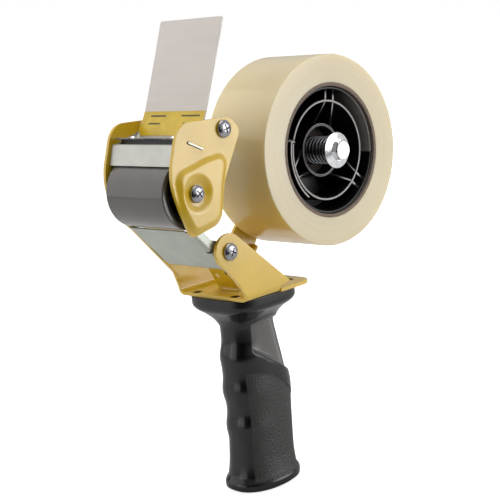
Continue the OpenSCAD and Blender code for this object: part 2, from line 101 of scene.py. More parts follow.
HUB_R = 37.9  # outside of the hub's rim
RING_R = 30.2
CUP_R = 16.2
RIM_T = 1.6  # thickness of rim and ring
HUB_NEAR = span("hub")[1].y  # near edges of rim, ring, cup and web
RING_NEAR = HUB_NEAR - 2
CUP_NEAR = HUB_NEAR - 6.9
WEB_NEAR = 1.0
TO_CAMERA = (0.72, 0.69, 0)  # the level way from the tool to the camera


# ---- small geometry helpers ----

def smooth(low, high, x):
    """0 below low, 1 above high, and a smooth step between."""
    t = min(1.0, max(0.0, (x - low) / (high - low)))
    return t * t * (3 - 2 * t)


def corner_arc(a, b, c, radius, steps):
    """The points of an arc that rounds the corner b between a and c."""
    u, v = (a - b).normalized(), (c - b).normalized()
    half = u.angle(v) / 2
    centre = b + (u + v).normalized() * radius / sin(half)
    first = b + u * radius / tan(half) - centre
    last = b + v * radius / tan(half) - centre
    turn = first.angle_signed(last)
    return [centre + Matrix.Rotation(-turn * i / steps, 2) @ first for i in range(steps + 1)]


def rounded(corners, steps=8, closed=True):
    """An outline through corners (x, y, radius), each rounded by its radius."""
    at = [Vector(corner[:2]) for corner in corners]
    count = len(at)
    points = []
    for i, corner in enumerate(corners):
        inner = closed or 0 < i < count - 1
        if inner and len(corner) > 2 and corner[2] > 0:
            points += corner_arc(at[i - 1], at[i], at[(i + 1) % count], corner[2], steps)
        else:
            points.append(at[i])
    return points


def circle(centre, radius, steps):
    """A round outline."""
    turns = [2 * pi * i / steps for i in range(steps)]
    return [Vector((centre[0] + radius * cos(t), centre[1] + radius * sin(t))) for t in turns]


def oblong(low, high, foot, top):
    """The corners of a rectangle, with one radius for its two lower corners and one for its upper two."""
    return [(*low, foot), (high[0], low[1], foot), (*high, top), (low[0], high[1], top)]


def mirrored(corners):
    """Corners of one side of an outline, and the same on the other side."""
    return corners + [(-corner[0], *corner[1:]) for corner in reversed(corners)]


def corners_of(points):
    """The lowest and highest corners of points in a plane."""
    return (Vector((min(p.x for p in points), min(p.y for p in points))),
            Vector((max(p.x for p in points), max(p.y for p in points))))


def densify(loop, step):
    """A closed outline with extra points, so that none are further apart than step."""
    points = []
    for i, a in enumerate(loop):
        b = loop[(i + 1) % len(loop)]
        pieces = max(1, ceil((b - a).length / step))
        points += [a.lerp(b, k / pieces) for k in range(pieces)]
    return points


def inside(point, loop):
    """True if the point is inside the closed outline."""
    hit = False
    for i, a in enumerate(loop):
        b = loop[i - 1]
        if (a.y > point.y) != (b.y > point.y):
            if point.x < (b.x - a.x) * (point.y - a.y) / (b.y - a.y) + a.x:
                hit = not hit
    return hit


def within(loop):
    """A test of whether a point is inside the closed outline, quick for points far from it."""
    low, high = corners_of(loop)
    return lambda p: low.x < p.x < high.x and low.y < p.y < high.y and inside(p, loop)


def tree_of(points):
    """A search tree over points in a plane."""
    tree = kdtree.KDTree(len(points))
    for i, point in enumerate(points):
        tree.insert((point[0], point[1], 0), i)
    tree.balance()
    return tree


# ---- pieces ----

def linked(name, data):
    """An object in the scene that holds data."""
    obj = bpy.data.objects.new(name, data)
    scene.collection.objects.link(obj)
    return obj


def new_object(name, vertices, faces):
    """A mesh object from points in millimetres."""
    mesh = bpy.data.meshes.new(name)
    mesh.from_pydata([Vector(v) * MM for v in vertices], [], faces)
    obj = linked(name, mesh)
    bm = bmesh.new()
    bm.from_mesh(mesh)
    bmesh.ops.remove_doubles(bm, verts=bm.verts, dist=0.002 * MM)
    bmesh.ops.recalc_face_normals(bm, faces=bm.faces)
    bm.to_mesh(mesh)
    bm.free()
    return obj


def dress(obj, material, bevel=0.0, angle=40):
    """Smooth shading, softened edges and a material."""
    obj.data.materials.clear()
    obj.data.materials.append(material)
    for polygon in obj.data.polygons:
        polygon.use_smooth = True
        polygon.material_index = 0
    if bevel:
        soften = obj.modifiers.new("soft_edges", "BEVEL")
        soften.width = bevel * MM
        soften.segments = 2
        soften.limit_method = "ANGLE"
        soften.angle_limit = radians(angle)
        soften.harden_normals = False
    obj.modifiers.new("face_normals", "WEIGHTED_NORMAL").keep_sharp = True


def slot_of(material):
    """The slot that a material fills, which has the material's name."""
    return material.name.split(".")[0]


def place_piece(obj, material, body, node, bevel=0.0, angle=40, slot=None):
    """Dresses a piece and rides it on a body in place of a CAD node."""
    dress(obj, material, bevel, angle)
    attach(obj, body)
    stand_in(obj, slot or slot_of(material), node)


def stand_in(obj, slot, *nodes):
    """A piece takes the place of CAD nodes, which it hides; slot is not used."""
    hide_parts(*nodes)


def join(name, objects):
    """Several objects as one."""
    bm = bmesh.new()
    for obj in objects:
        bm.from_mesh(obj.data)
        bpy.data.objects.remove(obj)
    mesh = bpy.data.meshes.new(name)
    bm.to_mesh(mesh)
    bm.free()
    return linked(name, mesh)


def carve(obj, tool, operation="DIFFERENCE"):
    """Applies an exact boolean and deletes the tool."""
    cut = obj.modifiers.new("cut", "BOOLEAN")
    cut.object = tool
    cut.operation = operation
    cut.solver = "EXACT"
    graph = bpy.context.evaluated_depsgraph_get()
    mesh = bpy.data.meshes.new_from_object(obj.evaluated_get(graph))
    obj.modifiers.clear()
    obj.data = mesh
    bpy.data.objects.remove(tool)


def sheet(name, outline, place, thick, step, holes=(), rows=None, lift=None):
    """A sheet cut to outline, then carried by place(u, v, depth) from the flat to its own shape.

    step is the mesh's size, rows its grid lines across v, and lift(u, v) how far the sheet is pressed out.
    """
    points, edges = [], []
    for loop in (outline, *holes):
        loop = densify(loop, step)
        first = len(points)
        points += loop
        edges += [(first + i, first + (i + 1) % len(loop)) for i in range(len(loop))]
    rim = tree_of(points)
    low, high = corners_of(points)
    if rows is None:
        pitch = step * 0.866  # the rows of a grid of even triangles
        rows = [low.y + pitch * k for k in range(1, int((high.y - low.y) / pitch) + 1)]
    for k, v in enumerate(rows):
        for i in range(int((high.x - low.x) / step) + 1):
            spot = Vector((low.x + step * (i + k % 2 / 2), v))
            if rim.find((spot.x, spot.y, 0))[2] > step * 0.45:
                points.append(spot)
    flat, _, faces, *_ = geometry.delaunay_2d_cdt(points, edges, [], 1, 1e-4)
    gone = [within(hole) for hole in holes]
    middles = [sum((flat[i] for i in face), Vector((0, 0))) / 3 for face in faces]
    faces = [face for face, spot in zip(faces, middles) if not any(test(spot) for test in gone)]
    used = sorted({i for face in faces for i in face})
    index = {old: new for new, old in enumerate(used)}
    faces = [[index[i] for i in face] for face in faces]
    heights = [lift(*flat[i]) if lift else 0.0 for i in used]
    outer = [place(*flat[i], -h) for i, h in zip(used, heights)]
    inner = [place(*flat[i], thick - h) for i, h in zip(used, heights)]
    count = len(used)
    seen = {}
    for face in faces:
        for a, b in zip(face, face[1:] + face[:1]):
            seen[(a, b)] = seen.get((a, b), 0) + 1
    rim_edges = [edge for edge in seen if (edge[1], edge[0]) not in seen]
    walls = [(b, a, a + count, b + count) for a, b in rim_edges]
    backs = [[i + count for i in reversed(face)] for face in faces]
    return new_object(name, outer + inner, faces + walls + backs)


def stations(corners, steps):
    """(distance, point, normal) along an open path whose corners (a, b, radius) are rounded."""
    points = rounded(corners, steps, closed=False)
    found, run = [], 0.0
    for i, point in enumerate(points):
        before = (point - points[i - 1]).normalized() if i else None
        after = (points[i + 1] - point).normalized() if i < len(points) - 1 else None
        run += (point - points[i - 1]).length if i else 0.0
        way = ((before or after) + (after or before)).normalized()
        found.append((run, point, Vector((-way.y, way.x))))
    return found


def on_path(path, v):
    """The point and normal at a distance v along stations; beyond the ends it runs straight on."""
    k = 1
    while k < len(path) - 1 and path[k][0] < v:
        k += 1
    (d0, p0, n0), (d1, p1, n1) = path[k - 1], path[k]
    t = (v - d0) / (d1 - d0)
    normal = n0.lerp(n1, min(1.0, max(0.0, t))).normalized()
    return p0.lerp(p1, t), normal


def across_tool(path):
    """place() for a sheet that follows a path in the side view; u runs across the tool."""
    def place(u, v, depth):
        point, normal = on_path(path, v)
        point = point + normal * depth
        return Vector((point.x, u, point.y))
    return place


def flat_side(y, side):
    """place() for a flat sheet in the side view, with its outer face at y; side is 1 where that faces +Y."""
    def place(u, v, depth):
        return Vector((u, y - side * depth, v))
    return place


def lathe(name, at, outline, segments):
    """A turned piece about the axis across the tool through at, from a closed outline (radius, y)."""
    count = len(outline)
    vertices = []
    for k in range(segments):
        turn = 2 * pi * k / segments
        vertices += [(at.x + r * cos(turn), y, at.z + r * sin(turn)) for r, y in outline]
    faces = []
    for k in range(segments):
        for i in range(count):
            a, b = k * count + i, k * count + (i + 1) % count
            c, d = ((k + 1) % segments * count + j % count for j in (i + 1, i))
            if outline[i][0] > 0 or outline[(i + 1) % count][0] > 0:
                faces.append((a, b, c, d))
    return new_object(name, vertices, faces)


def turned(name, at, corners, segments=128, steps=5):
    """A turned piece from corners (radius, y, fillet)."""
    return lathe(name, at, [tuple(p) for p in rounded(corners, steps)], segments)


def tube(name, inner, outer, low, high, fillets, at=HUB, segments=160):
    """A turned tube from low to high, with its bore's and its outside's edges rounded."""
    bore, outside = fillets
    return turned(name, at, [
        (inner, low, bore), (outer, low, outside), (outer, high, outside), (inner, high, bore)
    ], segments)


def loft(name, rings):
    """A closed skin over rings of equal length, capped at both ends."""
    sides = len(rings[0])
    vertices = [point for ring in rings for point in ring]
    faces = []
    for i in range(len(rings) - 1):
        for k in range(sides):
            a, b = i * sides + k, i * sides + (k + 1) % sides
            faces.append((a, b, b + sides, a + sides))
    last = (len(rings) - 1) * sides
    faces.append(tuple(range(sides - 1, -1, -1)))
    faces.append(tuple(last + k for k in range(sides)))
    return new_object(name, vertices, faces)


def block(name, low, high):
    """A box between two corners, as a tool for cuts and unions."""
    corners = [(x, y, z) for x in (low[0], high[0]) for y in (low[1], high[1]) for z in (low[2], high[2])]
    faces = [(0, 1, 3, 2), (4, 6, 7, 5), (0, 4, 5, 1), (2, 3, 7, 6), (0, 2, 6, 4), (1, 5, 7, 3)]
    return new_object(name, corners, faces)


def turn_about(obj, at, degrees):
    """Turns a mesh about the axis across the tool through at."""
    pivot = Matrix.Translation(at * MM)
    obj.data.transform(pivot @ Matrix.Rotation(radians(degrees), 4, "Y") @ pivot.inverted())
    return obj


# ---- materials ----

def linear(colour):
    """An sRGB colour as the renderer's linear one."""
    return [c / 12.92 if c <= 0.04045 else ((c + 0.055) / 1.055) ** 2.4 for c in colour]


def shader(name, colour, **inputs):
    """A material with a principled surface; inputs are its settings, with _ for spaces."""
    made = bpy.data.materials.new(name)
    made.use_nodes = True
    surface = made.node_tree.nodes["Principled BSDF"]
    surface.inputs["Base Color"].default_value = (*linear(colour), 1)
    for key, value in inputs.items():
        surface.inputs[key.replace("_", " ")].default_value = value
    return made


def add(made, kind, inputs=None, **settings):
    """A node whose inputs are values or other nodes' sockets."""
    node = made.node_tree.nodes.new("ShaderNode" + kind)
    for key, value in settings.items():
        setattr(node, key, value)
    for key, value in (inputs or {}).items():
        if isinstance(value, bpy.types.NodeSocket):
            made.node_tree.links.new(value, node.inputs[key])
        else:
            node.inputs[key].default_value = value
    return node


def feed(made, socket, value):
    """Links a node's output to one of the surface's inputs."""
    made.node_tree.links.new(value, made.node_tree.nodes["Principled BSDF"].inputs[socket])


def coordinates(made, stretch=(1, 1, 1)):
    """Places on the piece in metres, stretched along each axis."""
    where = add(made, "TexCoord").outputs["Object"]
    return add(made, "Mapping", {"Vector": where, "Scale": stretch}).outputs["Vector"]


def cloud(made, scale, detail=3.0, stretch=(1, 1, 1), roughness=0.5):
    """Noise with about scale lumps to the metre."""
    inputs = {"Vector": coordinates(made, stretch), "Scale": scale, "Detail": detail, "Roughness": roughness}
    return add(made, "TexNoise", inputs).outputs["Fac"]


def ramp(made, factor, *stops):
    """Colours (or grey levels) at places between 0 and 1 along a factor."""
    node = add(made, "ValToRGB", {"Fac": factor})
    elements = node.color_ramp.elements
    while len(elements) < len(stops):
        elements.new(0.5)
    for element, (at, colour) in zip(elements, stops):
        element.position = at
        level = (colour,) * 3 if isinstance(colour, float) else linear(colour)
        element.color = (*level, 1)
    return node.outputs["Color"]


def calculate(made, operation, a, b=0.0):
    """One sum between sockets or numbers."""
    node = add(made, "Math", operation=operation)
    for socket, value in zip(node.inputs, (a, b)):
        if isinstance(value, bpy.types.NodeSocket):
            made.node_tree.links.new(value, socket)
        else:
            socket.default_value = value
    return node.outputs["Value"]


def product(made, first, *others):
    """Sockets multiplied together."""
    for other in others:
        first = calculate(made, "MULTIPLY", first, other)
    return first


def grade(made, value, low, high):
    """0 at low and 1 at high, either way round, and a straight line between."""
    return add(made, "MapRange", {"Value": value, "From Min": low, "From Max": high}).outputs["Result"]


def relief(made, height, depth, strength=1.0, under=None):
    """Bumps from a height, depth millimetres deep."""
    inputs = {"Height": height, "Distance": depth * MM, "Strength": strength}
    if under:
        inputs["Normal"] = under
    return add(made, "Bump", inputs).outputs["Normal"]


def bump(made, height, depth, strength=1.0, under=None):
    """The surface's bumps from a height."""
    feed(made, "Normal", relief(made, height, depth, strength, under))


def tinted(colour, by):
    """A colour made lighter or darker."""
    return [min(1.0, c * by) for c in colour]


def mottle(made, factor, colour, dark, light, low=0.3, high=0.7):
    """The surface's colour, darker and lighter along a factor."""
    feed(made, "Base Color", ramp(made, factor, (low, tinted(colour, dark)), (high, tinted(colour, light))))


def gloss(made, factor, smoothest, roughest, low=0.3, high=0.7):
    """The surface's roughness along a factor."""
    feed(made, "Roughness", ramp(made, factor, (low, smoothest), (high, roughest)))


def overlay(made, factor, under, colour):
    """A colour laid over a socket's colour by a factor."""
    return add(made, "Mix", {0: factor, 6: under, 7: (*linear(colour), 1)}, data_type="RGBA").outputs[2]


def painted_steel():
    """Glossy yellow paint: slight orange peel and faint unevenness."""
    colour = (0.86, 0.705, 0.12)
    made = shader("yellow_paint", colour, Roughness=0.3, Coat_Weight=1.0, Coat_Roughness=0.14)
    mottle(made, cloud(made, 26, 5), colour, 0.965, 1.03, 0.35, 0.65)
    gloss(made, cloud(made, 60, 4), 0.28, 0.40)
    peel = relief(made, cloud(made, 620, 2), 0.02)
    bump(made, cloud(made, 55, 2), 0.05, under=peel)
    feed(made, "Coat Normal", relief(made, cloud(made, 420, 2), 0.012))
    return made


def plated_sheet(name, colour, roughness, stretch, patchy=0.06, metallic=1.0):
    """Plated or bright sheet: rolled streaks and a cloudy colour."""
    made = shader(name, colour, Metallic=metallic, Roughness=roughness)
    mottle(made, cloud(made, 70, 6, roughness=0.6), colour, 1 - patchy, 1 + patchy)
    streaks = cloud(made, 900, 5, stretch, 0.7)
    gloss(made, streaks, roughness * 0.75, roughness * 1.3)
    bump(made, streaks, 0.02, 0.6)
    return made


def bright_steel(name, colour, roughness):
    """Bright plated steel with faint tool marks and dull patches."""
    made = shader(name, colour, Metallic=1.0, Roughness=roughness)
    patches = cloud(made, 240, 5, roughness=0.6)
    mottle(made, patches, colour, 0.9, 1.04)
    gloss(made, patches, roughness * 0.7, roughness * 1.6, high=0.75)
    bump(made, cloud(made, 1800, 4), 0.012)
    return made


def moulded(name, colour, roughness, lumps=1500, depth=0.03):
    """Moulded plastic: fine spark texture and slightly uneven gloss."""
    made = shader(name, colour, Roughness=roughness, IOR=1.5)
    uneven = cloud(made, 45, 4)
    mottle(made, uneven, colour, 0.88, 1.12)
    gloss(made, uneven, roughness * 0.85, roughness * 1.15)
    bump(made, cloud(made, lumps, 3), depth)
    return made


def grip_moulding():
    """The handle's glossy black plastic, grained on the panel, with a painted reflection in the thumb rest.
    """
    colour = (0.055, 0.053, 0.052)
    made = shader("grip_plastic", colour, Roughness=0.2, IOR=1.5)
    grain = add(made, "Attribute", attribute_name="grain").outputs["Fac"]
    inputs = {"Vector": coordinates(made), "Scale": 900.0, "Randomness": 1.0}
    pebbles = add(made, "TexVoronoi", inputs, feature="SMOOTH_F1").outputs["Distance"]
    height = calculate(made, "MULTIPLY", pebbles, grain)
    fine = relief(made, cloud(made, 1400, 3), 0.015)
    bump(made, height, 0.35, 0.9, under=fine)
    gloss(made, grain, 0.2, 0.5, 0.0, 1.0)
    # The thumb rest gets a painted reflection: a paler grey laid over the plastic's colour.
    rest = add(made, "Attribute", attribute_name="rest").outputs["Fac"]
    grained = ramp(made, grain, (0.0, colour), (1.0, (0.17, 0.165, 0.16)))
    feed(made, "Base Color", overlay(made, rest, grained, (0.37, 0.36, 0.355)))
    return made


def rubber_sleeve():
    """The roller's dark smooth rubber, faintly ground round its length."""
    colour = (0.31, 0.287, 0.268)
    made = shader("roller_rubber", colour, Roughness=0.36, IOR=1.5, Coat_Weight=0.8, Coat_Roughness=0.08)
    mottle(made, cloud(made, 40, 5), colour, 0.93, 1.07)
    ground = cloud(made, 1200, 4, (0.15, 1, 0.15), 0.7)
    gloss(made, ground, 0.30, 0.44)
    bump(made, ground, 0.02, 0.7)
    return made


def cloudy_film():
    """The flap's milky plastic film, with faint rolling lines."""
    colour = (0.93, 0.905, 0.88)
    made = shader("clear_film", colour, Roughness=0.38, IOR=1.45, Transmission_Weight=0.45)
    lines = cloud(made, 260, 3, (1, 0.12, 1))
    mottle(made, lines, colour, 0.988, 1.01)
    gloss(made, cloud(made, 90, 4), 0.32, 0.44)
    bump(made, lines, 0.02, 0.3)
    return made


def printed_band():
    """Yellow print on the film."""
    colour = (0.83, 0.70, 0.12)
    made = shader("band_film", colour, Roughness=0.38, Coat_Weight=0.3, Coat_Roughness=0.2)
    mottle(made, cloud(made, 180, 4), colour, 0.95, 1.04)
    bump(made, cloud(made, 700, 2), 0.01)
    return made


def printed_marks():
    """Dark ink of the band's plain bars."""
    made = shader("band_ink", (0.36, 0.31, 0.12), Roughness=0.45)
    gloss(made, cloud(made, 500, 3), 0.38, 0.52)
    return made


def radius_from_hub(made):
    """How far a place is from the hub's axis, in metres."""
    where = add(made, "TexCoord").outputs["Object"]
    flat = add(made, "VectorMath", {0: where, 1: tuple(HUB * MM)}, operation="SUBTRACT").outputs["Vector"]
    side = add(made, "VectorMath", {0: flat, 1: (1, 0, 1)}, operation="MULTIPLY").outputs["Vector"]
    return add(made, "VectorMath", {0: side}, operation="LENGTH").outputs["Value"]


def hub_moulding_plastic():
    """The hub's black plastic, with painted highlights on its near edges and a painted sheen on part of the
    rim's inside.
    """
    # The pale grey is a painted highlight for the near edges; the third colour is a painted sheen for the
    # rim's inside.
    colour, pale, sheen_grey = (0.03, 0.03, 0.033), (0.70, 0.685, 0.675), (0.60, 0.58, 0.56)
    made = moulded("hub_plastic", colour, 0.42, 1100, 0.02)
    where = add(made, "TexCoord")
    place = add(made, "VectorMath", {0: where.outputs["Object"], 1: tuple(HUB * MM)}, operation="SUBTRACT")
    place = add(made, "SeparateXYZ", {0: place.outputs["Vector"]})
    facing = add(made, "SeparateXYZ", {0: where.outputs["Normal"]}).outputs["Y"]
    radius = radius_from_hub(made)
    groove = calculate(made, "ABSOLUTE", calculate(made, "SUBTRACT", radius, (CUP_R - 0.95) * MM))
    rim_in = HUB_R - RIM_T
    # Where the near-facing edges get the painted highlight.
    edge = product(
        made, grade(made, facing, 0.7, 0.85),
        grade(made, place.outputs["Y"], (CUP_NEAR - 1.5) * MM, (CUP_NEAR - 0.9) * MM),
        grade(made, radius, (rim_in - 0.1) * MM, (rim_in - 0.3) * MM),
        grade(made, groove, 0.25 * MM, 0.45 * MM))
    turn = calculate(made, "ARCTAN2", place.outputs["X"], place.outputs["Z"])
    # Where the rim's inside gets the painted sheen.
    sheen_patch = product(
        made, grade(made, turn, radians(-100.5), radians(-99.5)),
        grade(made, turn, radians(-25), radians(-60)),
        grade(made, radius, (rim_in - 0.7) * MM, (rim_in - 0.5) * MM),
        grade(made, radius, (rim_in + 0.6) * MM, (rim_in + 0.4) * MM))
    surface = made.node_tree.nodes["Principled BSDF"].inputs["Base Color"].links[0].from_socket
    # Lays the painted sheen, then the painted edge highlights, over the plastic's colour.
    with_sheen = overlay(made, sheen_patch, surface, sheen_grey)
    feed(made, "Base Color", overlay(made, edge, with_sheen, pale))
    return made


def wound_tape():
    """Clear tape wound in many layers: milky, ringed on its ends, glossy, and with a painted golden light low
    on its outside.
    """
    colour, golden_light = (0.85, 0.79, 0.64), (0.96, 0.85, 0.52)
    made = shader("tape_film", colour, Roughness=0.3, IOR=1.47, Coat_Weight=0.55, Coat_Roughness=0.09,
                  Subsurface_Weight=0.45, Subsurface_Scale=0.012)
    made.node_tree.nodes["Principled BSDF"].inputs["Subsurface Radius"].default_value = (1.0, 0.82, 0.55)
    radius = radius_from_hub(made)
    rings = add(made, "TexNoise", {"W": radius, "Scale": 1500.0, "Detail": 6.0, "Roughness": 0.75},
                noise_dimensions="1D").outputs["Fac"]
    shade = ramp(made, rings, (0.25, (0.83, 0.765, 0.62)), (0.5, colour), (0.8, (0.87, 0.82, 0.69)))
    where = add(made, "TexCoord")
    height = add(made, "SeparateXYZ", {0: where.outputs["Object"]}).outputs["Z"]
    across = add(made, "SeparateXYZ", {0: where.outputs["Normal"]}).outputs["Y"]
    # The lower part of the outside gets a painted golden light.
    outside = grade(made, calculate(made, "ABSOLUTE", across), 0.6, 0.3)
    low = grade(made, height, (HUB.z + 50) * MM, (HUB.z - 50) * MM)
    feed(made, "Base Color", overlay(made, product(made, outside, low), shade, golden_light))
    gloss(made, rings, 0.22, 0.42)
    bands = cloud(made, 34, 4, (0.4, 1, 0.4))
    bump(made, rings, 0.05, 0.5, under=relief(made, bands, 0.15, 0.5))
    return made


def pressed_paper(name, colour):
    """Grey-brown board or fibre with short flecks."""
    made = shader(name, colour, Roughness=0.85)
    flecks = cloud(made, 800, 6, (1, 0.3, 1), 0.7)
    mottle(made, flecks, colour, 0.82, 1.15)
    bump(made, flecks, 0.05, 0.8)
    return made


yellow_paint = painted_steel()
zinc_sheet = plated_sheet("zinc_sheet", (0.77, 0.77, 0.74), 0.36, (1, 0.06, 1), 0.04, 0.6)
hold_down_zinc = plated_sheet("hold_down_zinc", (0.72, 0.74, 0.70), 0.4, (1, 0.06, 1), 0.035, 0.85)
blade_steel = plated_sheet("blade_steel", (0.82, 0.82, 0.83), 0.25, (1, 0.08, 1))
bright_zinc = bright_steel("bright_zinc", (0.95, 0.955, 0.965), 0.16)
screw_zinc = bright_steel("screw_zinc", (0.66, 0.66, 0.68), 0.12)
rod_steel = bright_steel("rod_steel", (0.68, 0.68, 0.67), 0.32)
spring_wire = bright_steel("spring_wire", (0.40, 0.385, 0.37), 0.35)
bright_wire = bright_steel("bright_wire", (0.55, 0.555, 0.57), 0.2)
roller_rubber = rubber_sleeve()
black_moulding = moulded("black_moulding", (0.10, 0.10, 0.10), 0.4)
hub_plastic = hub_moulding_plastic()
grip_plastic = grip_moulding()
bush_plastic = moulded("bush_plastic", (0.82, 0.79, 0.72), 0.45)
clear_film = cloudy_film()
band_film = printed_band()
band_ink = printed_marks()
fibre = pressed_paper("fibre", (0.17, 0.13, 0.11))
core_board = pressed_paper("core_board", (0.50, 0.44, 0.40))
tape_film = wound_tape()
black_screws = bright_steel("black_screws", (0.09, 0.09, 0.095), 0.38)


# ---- frame and cheek ----

BEND_ARC = BEND_R * pi / 2
BASE_FLAT = SIDE_OUT - BEND_R  # half the width between the bends
LEAD = 10.0  # length of near wall above its bend at which the section starts
EAR_R = 10.2
HEAD_TOP = [(74.6, 196, 34), (64.5, 224.2, 12), (27, 223, 10), (19.6, 215.2, 5)]
PANEL = [(42.2, 168, 9), (62, 164.6, 6), (67.6, 177, 20), (69.4, 197.6, 6), (60, 199.4, 20), (48, 202.2, 12),
         (33, 203.6, 4.5), (38.4, 186, 20)]
LANCE_AT = Vector((54.1, 211))  # middle of the guard's end tab, seen from the side
LANCE_RISE = radians(26.8)
PANEL_H = span("near_cheek")[1].y - SIDE_OUT
TAB_HALF = 8.0
TAB_LEAN = radians(27.7)
TAB_FOOT = 14.93  # where the tab's front face meets the base's top
TAB_LENGTH = 17.4
FOLD_R = 1.2  # inside radius of the tab's fold
FOLD_AT = TAB_FOOT + FOLD_R / tan((pi / 2 - TAB_LEAN) / 2)

section = stations([
    (SIDE_OUT, WALL_Z + LEAD), (SIDE_OUT, BASE_Z, BEND_R),
    (-SIDE_OUT, BASE_Z, BEND_R), (-SIDE_OUT, WALL_Z + LEAD)
], 12)
tab_path = stations([
    (FOLD_AT + LEAD, BASE_TOP), (TAB_FOOT, BASE_TOP, FOLD_R),
    (TAB_FOOT + 20 * sin(TAB_LEAN), BASE_TOP + 20 * cos(TAB_LEAN))
], 12)
panel_loop = densify(rounded(PANEL), 0.4)
panel_tree = tree_of(panel_loop)


def near_v(z):
    """Where a height on the near wall lies in the flat blank."""
    return LEAD + WALL_Z - z


def base_v(y):
    """Where a place across the base lies in the flat blank."""
    return LEAD + BEND_ARC + BASE_FLAT - y


def far_v(z):
    """Where a height on the far wall lies in the flat blank."""
    return base_v(-BASE_FLAT) + BEND_ARC + z - WALL_Z


def panel_lift(x, z):
    """How far the head's panel is pressed out, with a round dish for the axle's screw."""
    distance = panel_tree.find((x, z, 0))[2]
    if not inside(Vector((x, z)), panel_loop):
        distance = -distance
    dish = hypot(x - ROLLER.x, z - ROLLER.z)
    return PANEL_H * smooth(-2.4, 2.2, distance) * smooth(5.2, 11.2, dish)


def frame_place(u, v, depth):
    """Folds the frame's flat blank: near ear, base with its tab, far wall."""
    y = base_v(0) - v
    if abs(y) < TAB_HALF + 0.1 and FOLD_AT - TAB_LENGTH - 1 < u < FOLD_AT:
        point, normal = on_path(tab_path, LEAD + FOLD_AT - u)
        point = point + normal * (SHEET - depth)
        return Vector((point.x, y, point.y))
    if u < EAR_REAR - 0.1 and LEAD + 1 < v < base_v(BASE_FLAT):
        return Vector((u, y, BASE_Z + depth))
    point, normal = on_path(section, v)
    point = point - normal * depth
    return Vector((u, point.x, point.y))


def frame_lift(u, v):
    """The far head carries the same pressed panel as the cheek."""
    z = v - far_v(0)
    return panel_lift(u, z) if z > ROLLER.z - 30 else 0.0


def rod_hole(x, v):
    """A hole for a cross rod's screw."""
    return circle((x, v), ROD_HOLE_R, 24)


def frame_blank():
    """The frame's flat outline and its openings, as (x, v)."""
    turns = [radians(-33 + 162.5 * i / 20) for i in range(21)]
    ear_top = [(LOWER.x + EAR_R * cos(t), near_v(LOWER.z + EAR_R * sin(t))) for t in turns]
    ear = [(BASE_FRONT, near_v(WALL_Z)), (32.5, near_v(129), 8), (40, near_v(138), 12), *ear_top,
           (-7, near_v(123.4)), (EAR_REAR, near_v(WALL_Z)), (EAR_REAR, base_v(BASE_FLAT))]
    corner_v = base_v(SIDE_OUT - 0.4)
    rear = [(EAR_REAR - 0.6, base_v(BASE_FLAT)), (EAR_REAR - 0.6, corner_v), (BASE_REAR, corner_v, 9)]
    arm = [(-30, 128, 20), (-56, 167, 30), (-74, 191, 13), (-58, 207, 11), (-44, 196, 14), (-30, 160, 30)]
    neck = [(-6, 133, 6), (33, 165, 25), (35.6, 188.5, 20)]
    front = [(71.8, 180, 20), (62, 167, 20), (32, 132.5, 10)]
    wall = [(BASE_REAR, WALL_Z), *arm, *neck, *reversed(HEAD_TOP), *front, (BASE_FRONT, WALL_Z)]
    wall = [(corner[0], far_v(corner[1]), *corner[2:]) for corner in wall]
    slot_rear, slot_half = -3.6, TAB_HALF + 0.8
    side = [(FOLD_AT, slot_half), *((FOLD_AT - 0.25 * i, TAB_HALF) for i in range(13)),
            (FOLD_AT - TAB_LENGTH, TAB_HALF, 2.5)]
    slot = [*side, *((u, -y, *radius) for u, y, *radius in reversed(side)),
            (slot_rear, -slot_half, 1), (slot_rear, slot_half, 1)]
    slot = [(u, base_v(y), *radius) for u, y, *radius in slot]
    screws = [circle((x, base_v(y)), 3.1, 28) for x in (-18, 25.4) for y in (-16, 16)]
    rods = [rod_hole(at.x, far_v(at.z)) for at in (UPPER, ROLLER, LOWER)]
    rods.append(rod_hole(LOWER.x, near_v(LOWER.z)))
    stud = circle((HUB.x, far_v(HUB.z)), 5.02, 40)
    eye = circle((FOLD_AT - 11.3, base_v(-3.5)), 1.6, 24)
    return rounded(ear + rear + wall), [rounded(slot, 5), *screws, *rods, stud, eye]


def build_frame():
    """The frame's folded sheet, with the small flange at the root of its arm."""
    outline, holes = frame_blank()
    bends = [LEAD + BEND_ARC * k / 8 for k in range(9)]
    bends += [base_v(-BASE_FLAT) + BEND_ARC * k / 8 for k in range(9)]
    plain = [v for v in range(-30, 170, 2) if all(abs(v - bend) > 1.1 for bend in bends)]
    main = sheet("main", outline, frame_place, SHEET, 1.3, holes, sorted(bends + plain), frame_lift)
    flange_path = stations([(-33.8, 135.4), (-30.4, 130, 12), (-26.9, 124)], 8)
    root = -SIDE_OUT + 0.5
    strip = rounded([(root, 0.1), (-SIDE_IN + 5, 0.1, 2), (-SIDE_IN + 2, 11.5, 2), (root, 13.0)])
    flange = sheet("flange", strip, across_tool(flange_path), 1.6, 1.2)
    frame_sheet = join("frame_sheet", [main, flange])
    place_piece(frame_sheet, yellow_paint, "frame_body", "frame", 0.3)


def lance(grow):
    """The outline of the guard's end tab where it passes through the cheek, grown all round."""
    way = Vector((cos(LANCE_RISE), sin(LANCE_RISE)))
    up = way.orthogonal()
    signs = ((-1, -1), (1, -1), (1, 1), (-1, 1))
    corners = [LANCE_AT + way * a * (5.6 + grow) + up * b * (0.5 + grow) for a, b in signs]
    return rounded([(*corner, 0.4) for corner in corners], 4)


